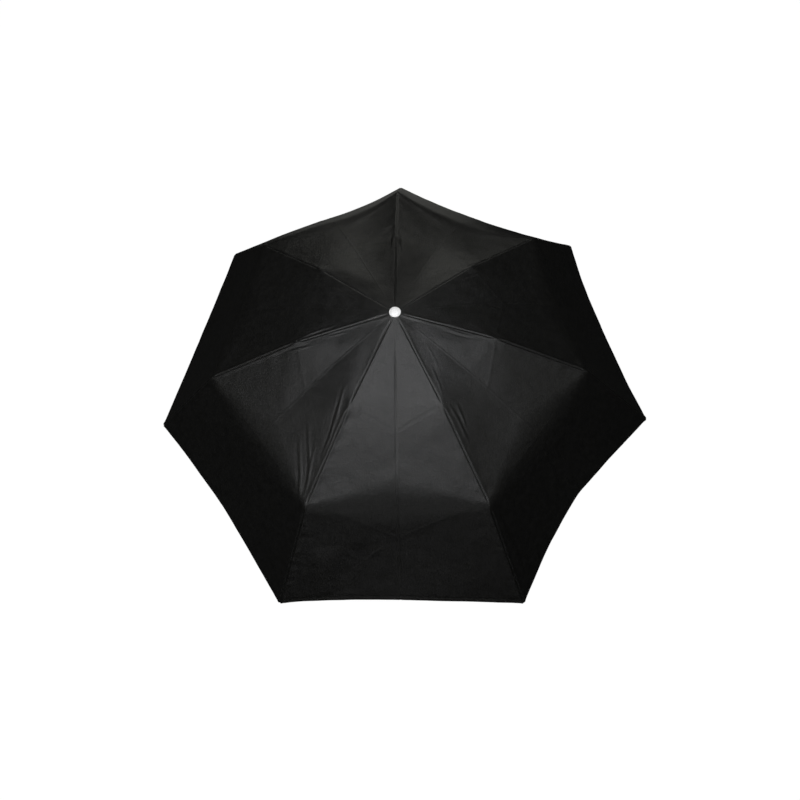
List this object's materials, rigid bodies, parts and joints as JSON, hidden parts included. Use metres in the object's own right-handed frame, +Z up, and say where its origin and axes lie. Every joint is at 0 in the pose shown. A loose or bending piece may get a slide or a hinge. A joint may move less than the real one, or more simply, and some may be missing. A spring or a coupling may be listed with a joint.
{
  "type": "folding umbrella",
  "caption": "Compact folding umbrella, open: a low faceted cloth canopy on jointed ribs over a telescopic shaft, with a short push-button handle.",
  "frame": {"origin": "middle of the handle's flat end", "axes": "+Z up the shaft towards the canopy's cap, +Y towards rib 0, and the button on the -Y side"},
  "size_m": [0.9244, 0.9012, 0.5721],
  "materials": {
    "canopy_cloth": "satin woven",
    "blackened_steel": "semi-gloss",
    "bright_steel": "polished",
    "black_plastic": "satin",
    "silver_cap": "satin",
    "handle_rubber": "matt"
  },
  "bodies": {
    "handle": {"handle_grip": "handle_rubber", "handle_end_cap": "black_plastic", "lower_tube": "bright_steel", "button_spring": "bright_steel"},
    "button": {"push_button": "black_plastic"},
    "shaft_middle": {"middle_tube": "bright_steel"},
    "shaft_top": {"top_tube": "bright_steel", "crown": "black_plastic", "crown_wire": "bright_steel", "cap": "silver_cap", "canopy_gore_0": "canopy_cloth", "canopy_gore_1": "canopy_cloth", "canopy_gore_2": "canopy_cloth", "canopy_gore_3": "canopy_cloth", "canopy_gore_4": "canopy_cloth", "canopy_gore_5": "canopy_cloth", "canopy_gore_6": "canopy_cloth"},
    "runner": {"runner": "black_plastic"},
    "rib_top_0": {"top_rib_0": "blackened_steel"},
    "rib_mid_0": {"mid_rib_0": "blackened_steel"},
    "rib_end_0": {"end_rib_0": "blackened_steel", "rib_tip_0": "black_plastic"},
    "strut_0": {"stretcher_0": "blackened_steel"},
    "link_0": {"control_link_0": "blackened_steel"},
    "rib_top_1": {"top_rib_1": "blackened_steel"},
    "rib_mid_1": {"mid_rib_1": "blackened_steel"},
    "rib_end_1": {"end_rib_1": "blackened_steel", "rib_tip_1": "black_plastic"},
    "strut_1": {"stretcher_1": "blackened_steel"},
    "link_1": {"control_link_1": "blackened_steel"},
    "rib_top_2": {"top_rib_2": "blackened_steel"},
    "rib_mid_2": {"mid_rib_2": "blackened_steel"},
    "rib_end_2": {"end_rib_2": "blackened_steel", "rib_tip_2": "black_plastic"},
    "strut_2": {"stretcher_2": "blackened_steel"},
    "link_2": {"control_link_2": "blackened_steel"},
    "rib_top_3": {"top_rib_3": "blackened_steel"},
    "rib_mid_3": {"mid_rib_3": "blackened_steel"},
    "rib_end_3": {"end_rib_3": "blackened_steel", "rib_tip_3": "black_plastic"},
    "strut_3": {"stretcher_3": "blackened_steel"},
    "link_3": {"control_link_3": "blackened_steel"},
    "rib_top_4": {"top_rib_4": "blackened_steel"},
    "rib_mid_4": {"mid_rib_4": "blackened_steel"},
    "rib_end_4": {"end_rib_4": "blackened_steel", "rib_tip_4": "black_plastic"},
    "strut_4": {"stretcher_4": "blackened_steel"},
    "link_4": {"control_link_4": "blackened_steel"},
    "rib_top_5": {"top_rib_5": "blackened_steel"},
    "rib_mid_5": {"mid_rib_5": "blackened_steel"},
    "rib_end_5": {"end_rib_5": "blackened_steel", "rib_tip_5": "black_plastic"},
    "strut_5": {"stretcher_5": "blackened_steel"},
    "link_5": {"control_link_5": "blackened_steel"},
    "rib_top_6": {"top_rib_6": "blackened_steel"},
    "rib_mid_6": {"mid_rib_6": "blackened_steel"},
    "rib_end_6": {"end_rib_6": "blackened_steel", "rib_tip_6": "black_plastic"},
    "strut_6": {"stretcher_6": "blackened_steel"},
    "link_6": {"control_link_6": "blackened_steel"}
  },
  "joints": [
    {"name": "button_press", "type": "slide", "parent": "handle", "child": "button", "axis": [0, 1, 0], "range_m": [0, 0.0022], "stiffness_N_per_m": 400, "springref_m": -0.002, "deforming": ["button_spring"]},
    {"name": "lower_telescope", "type": "slide", "parent": "handle", "child": "shaft_middle", "axis": [0, 0, -1], "range_m": [0, 0.128]},
    {"name": "upper_telescope", "type": "slide", "parent": "shaft_middle", "child": "shaft_top", "axis": [0, 0, -1], "range_m": [0, 0.15]},
    {"name": "runner_slide", "type": "slide", "parent": "shaft_top", "child": "runner", "axis": [0, 0, -1], "range_m": [0, 0.12114], "deforming": ["canopy_gore_0", "canopy_gore_1", "canopy_gore_2", "canopy_gore_3", "canopy_gore_4", "canopy_gore_5", "canopy_gore_6"]},
    {"name": "crown_hinge_0", "type": "hinge", "parent": "shaft_top", "child": "rib_top_0", "pos_m": [0, 0.009, 0.562], "axis": [-1, 0, 0], "range_deg": [0, 78]},
    {"name": "knee_hinge_0", "type": "hinge", "parent": "rib_top_0", "child": "rib_mid_0", "pos_m": [0, 0.17304, 0.53648], "axis": [-1, 0, 0], "range_deg": [-188.5, 0]},
    {"name": "elbow_hinge_0", "type": "hinge", "parent": "rib_mid_0", "child": "rib_end_0", "pos_m": [0, 0.33239, 0.47433], "axis": [-1, 0, 0], "range_deg": [0, 151.8]},
    {"name": "strut_hinge_0", "type": "hinge", "parent": "rib_top_0", "child": "strut_0", "pos_m": [0, 0.09129, 0.54478], "axis": [-1, 0, 0], "range_deg": [-146, 0]},
    {"name": "link_hinge_0", "type": "hinge", "parent": "rib_mid_0", "child": "link_0", "pos_m": [0, 0.16317, 0.53538], "axis": [-1, 0, 0], "range_deg": [0, 187.3]},
    {"name": "crown_hinge_1", "type": "hinge", "parent": "shaft_top", "child": "rib_top_1", "pos_m": [0.00704, 0.00561, 0.562], "axis": [-0.6235, 0.7818, 0], "range_deg": [0, 78]},
    {"name": "knee_hinge_1", "type": "hinge", "parent": "rib_top_1", "child": "rib_mid_1", "pos_m": [0.13529, 0.10789, 0.53648], "axis": [-0.6235, 0.7818, 0], "range_deg": [-188.5, 0]},
    {"name": "elbow_hinge_1", "type": "hinge", "parent": "rib_mid_1", "child": "rib_end_1", "pos_m": [0.25987, 0.20724, 0.47433], "axis": [-0.6235, 0.7818, 0], "range_deg": [0, 151.8]},
    {"name": "strut_hinge_1", "type": "hinge", "parent": "rib_top_1", "child": "strut_1", "pos_m": [0.07137, 0.05692, 0.54478], "axis": [-0.6235, 0.7818, 0], "range_deg": [-146, 0]},
    {"name": "link_hinge_1", "type": "hinge", "parent": "rib_mid_1", "child": "link_1", "pos_m": [0.12757, 0.10173, 0.53538], "axis": [-0.6235, 0.7818, 0], "range_deg": [0, 187.3]},
    {"name": "crown_hinge_2", "type": "hinge", "parent": "shaft_top", "child": "rib_top_2", "pos_m": [0.00877, -0.002, 0.562], "axis": [0.2225, 0.9749, 0], "range_deg": [0, 78]},
    {"name": "knee_hinge_2", "type": "hinge", "parent": "rib_top_2", "child": "rib_mid_2", "pos_m": [0.1687, -0.0385, 0.53648], "axis": [0.2225, 0.9749, 0], "range_deg": [-188.5, 0]},
    {"name": "elbow_hinge_2", "type": "hinge", "parent": "rib_mid_2", "child": "rib_end_2", "pos_m": [0.32406, -0.07396, 0.47433], "axis": [0.2225, 0.9749, 0], "range_deg": [0, 151.8]},
    {"name": "strut_hinge_2", "type": "hinge", "parent": "rib_top_2", "child": "strut_2", "pos_m": [0.089, -0.02031, 0.54478], "axis": [0.2225, 0.9749, 0], "range_deg": [-146, 0]},
    {"name": "link_hinge_2", "type": "hinge", "parent": "rib_mid_2", "child": "link_2", "pos_m": [0.15908, -0.03631, 0.53538], "axis": [0.2225, 0.9749, 0], "range_deg": [0, 187.3]},
    {"name": "crown_hinge_3", "type": "hinge", "parent": "shaft_top", "child": "rib_top_3", "pos_m": [0.00391, -0.00811, 0.562], "axis": [0.901, 0.4339, 0], "range_deg": [0, 78]},
    {"name": "knee_hinge_3", "type": "hinge", "parent": "rib_top_3", "child": "rib_mid_3", "pos_m": [0.07508, -0.1559, 0.53648], "axis": [0.901, 0.4339, 0], "range_deg": [-188.5, 0]},
    {"name": "elbow_hinge_3", "type": "hinge", "parent": "rib_mid_3", "child": "rib_end_3", "pos_m": [0.14422, -0.29947, 0.47433], "axis": [0.901, 0.4339, 0], "range_deg": [0, 151.8]},
    {"name": "strut_hinge_3", "type": "hinge", "parent": "rib_top_3", "child": "strut_3", "pos_m": [0.03961, -0.08225, 0.54478], "axis": [0.901, 0.4339, 0], "range_deg": [-146, 0]},
    {"name": "link_hinge_3", "type": "hinge", "parent": "rib_mid_3", "child": "link_3", "pos_m": [0.0708, -0.14701, 0.53538], "axis": [0.901, 0.4339, 0], "range_deg": [0, 187.3]},
    {"name": "crown_hinge_4", "type": "hinge", "parent": "shaft_top", "child": "rib_top_4", "pos_m": [-0.00391, -0.00811, 0.562], "axis": [0.901, -0.4339, 0], "range_deg": [0, 78]},
    {"name": "knee_hinge_4", "type": "hinge", "parent": "rib_top_4", "child": "rib_mid_4", "pos_m": [-0.07508, -0.1559, 0.53648], "axis": [0.901, -0.4339, 0], "range_deg": [-188.5, 0]},
    {"name": "elbow_hinge_4", "type": "hinge", "parent": "rib_mid_4", "child": "rib_end_4", "pos_m": [-0.14422, -0.29947, 0.47433], "axis": [0.901, -0.4339, 0], "range_deg": [0, 151.8]},
    {"name": "strut_hinge_4", "type": "hinge", "parent": "rib_top_4", "child": "strut_4", "pos_m": [-0.03961, -0.08225, 0.54478], "axis": [0.901, -0.4339, 0], "range_deg": [-146, 0]},
    {"name": "link_hinge_4", "type": "hinge", "parent": "rib_mid_4", "child": "link_4", "pos_m": [-0.0708, -0.14701, 0.53538], "axis": [0.901, -0.4339, 0], "range_deg": [0, 187.3]},
    {"name": "crown_hinge_5", "type": "hinge", "parent": "shaft_top", "child": "rib_top_5", "pos_m": [-0.00877, -0.002, 0.562], "axis": [0.2225, -0.9749, 0], "range_deg": [0, 78]},
    {"name": "knee_hinge_5", "type": "hinge", "parent": "rib_top_5", "child": "rib_mid_5", "pos_m": [-0.1687, -0.0385, 0.53648], "axis": [0.2225, -0.9749, 0], "range_deg": [-188.5, 0]},
    {"name": "elbow_hinge_5", "type": "hinge", "parent": "rib_mid_5", "child": "rib_end_5", "pos_m": [-0.32406, -0.07396, 0.47433], "axis": [0.2225, -0.9749, 0], "range_deg": [0, 151.8]},
    {"name": "strut_hinge_5", "type": "hinge", "parent": "rib_top_5", "child": "strut_5", "pos_m": [-0.089, -0.02031, 0.54478], "axis": [0.2225, -0.9749, 0], "range_deg": [-146, 0]},
    {"name": "link_hinge_5", "type": "hinge", "parent": "rib_mid_5", "child": "link_5", "pos_m": [-0.15908, -0.03631, 0.53538], "axis": [0.2225, -0.9749, 0], "range_deg": [0, 187.3]},
    {"name": "crown_hinge_6", "type": "hinge", "parent": "shaft_top", "child": "rib_top_6", "pos_m": [-0.00704, 0.00561, 0.562], "axis": [-0.6235, -0.7818, 0], "range_deg": [0, 78]},
    {"name": "knee_hinge_6", "type": "hinge", "parent": "rib_top_6", "child": "rib_mid_6", "pos_m": [-0.13529, 0.10789, 0.53648], "axis": [-0.6235, -0.7818, 0], "range_deg": [-188.5, 0]},
    {"name": "elbow_hinge_6", "type": "hinge", "parent": "rib_mid_6", "child": "rib_end_6", "pos_m": [-0.25987, 0.20724, 0.47433], "axis": [-0.6235, -0.7818, 0], "range_deg": [0, 151.8]},
    {"name": "strut_hinge_6", "type": "hinge", "parent": "rib_top_6", "child": "strut_6", "pos_m": [-0.07137, 0.05692, 0.54478], "axis": [-0.6235, -0.7818, 0], "range_deg": [-146, 0]},
    {"name": "link_hinge_6", "type": "hinge", "parent": "rib_mid_6", "child": "link_6", "pos_m": [-0.12757, 0.10173, 0.53538], "axis": [-0.6235, -0.7818, 0], "range_deg": [0, 187.3]}
  ],
  "couplings": [
    {"joint": "crown_hinge_0", "follows": "runner_slide", "rad_per_m": 11.238},
    {"joint": "knee_hinge_0", "follows": "runner_slide", "rad_per_m": -27.158},
    {"joint": "elbow_hinge_0", "follows": "runner_slide", "rad_per_m": 21.871},
    {"joint": "strut_hinge_0", "follows": "runner_slide", "rad_per_m": -21.028},
    {"joint": "link_hinge_0", "follows": "runner_slide", "rad_per_m": 26.974},
    {"joint": "crown_hinge_1", "follows": "runner_slide", "rad_per_m": 11.238},
    {"joint": "knee_hinge_1", "follows": "runner_slide", "rad_per_m": -27.158},
    {"joint": "elbow_hinge_1", "follows": "runner_slide", "rad_per_m": 21.871},
    {"joint": "strut_hinge_1", "follows": "runner_slide", "rad_per_m": -21.028},
    {"joint": "link_hinge_1", "follows": "runner_slide", "rad_per_m": 26.974},
    {"joint": "crown_hinge_2", "follows": "runner_slide", "rad_per_m": 11.238},
    {"joint": "knee_hinge_2", "follows": "runner_slide", "rad_per_m": -27.158},
    {"joint": "elbow_hinge_2", "follows": "runner_slide", "rad_per_m": 21.871},
    {"joint": "strut_hinge_2", "follows": "runner_slide", "rad_per_m": -21.028},
    {"joint": "link_hinge_2", "follows": "runner_slide", "rad_per_m": 26.974},
    {"joint": "crown_hinge_3", "follows": "runner_slide", "rad_per_m": 11.238},
    {"joint": "knee_hinge_3", "follows": "runner_slide", "rad_per_m": -27.158},
    {"joint": "elbow_hinge_3", "follows": "runner_slide", "rad_per_m": 21.871},
    {"joint": "strut_hinge_3", "follows": "runner_slide", "rad_per_m": -21.028},
    {"joint": "link_hinge_3", "follows": "runner_slide", "rad_per_m": 26.974},
    {"joint": "crown_hinge_4", "follows": "runner_slide", "rad_per_m": 11.238},
    {"joint": "knee_hinge_4", "follows": "runner_slide", "rad_per_m": -27.158},
    {"joint": "elbow_hinge_4", "follows": "runner_slide", "rad_per_m": 21.871},
    {"joint": "strut_hinge_4", "follows": "runner_slide", "rad_per_m": -21.028},
    {"joint": "link_hinge_4", "follows": "runner_slide", "rad_per_m": 26.974},
    {"joint": "crown_hinge_5", "follows": "runner_slide", "rad_per_m": 11.238},
    {"joint": "knee_hinge_5", "follows": "runner_slide", "rad_per_m": -27.158},
    {"joint": "elbow_hinge_5", "follows": "runner_slide", "rad_per_m": 21.871},
    {"joint": "strut_hinge_5", "follows": "runner_slide", "rad_per_m": -21.028},
    {"joint": "link_hinge_5", "follows": "runner_slide", "rad_per_m": 26.974},
    {"joint": "crown_hinge_6", "follows": "runner_slide", "rad_per_m": 11.238},
    {"joint": "knee_hinge_6", "follows": "runner_slide", "rad_per_m": -27.158},
    {"joint": "elbow_hinge_6", "follows": "runner_slide", "rad_per_m": 21.871},
    {"joint": "strut_hinge_6", "follows": "runner_slide", "rad_per_m": -21.028},
    {"joint": "link_hinge_6", "follows": "runner_slide", "rad_per_m": 26.974}
  ]
}
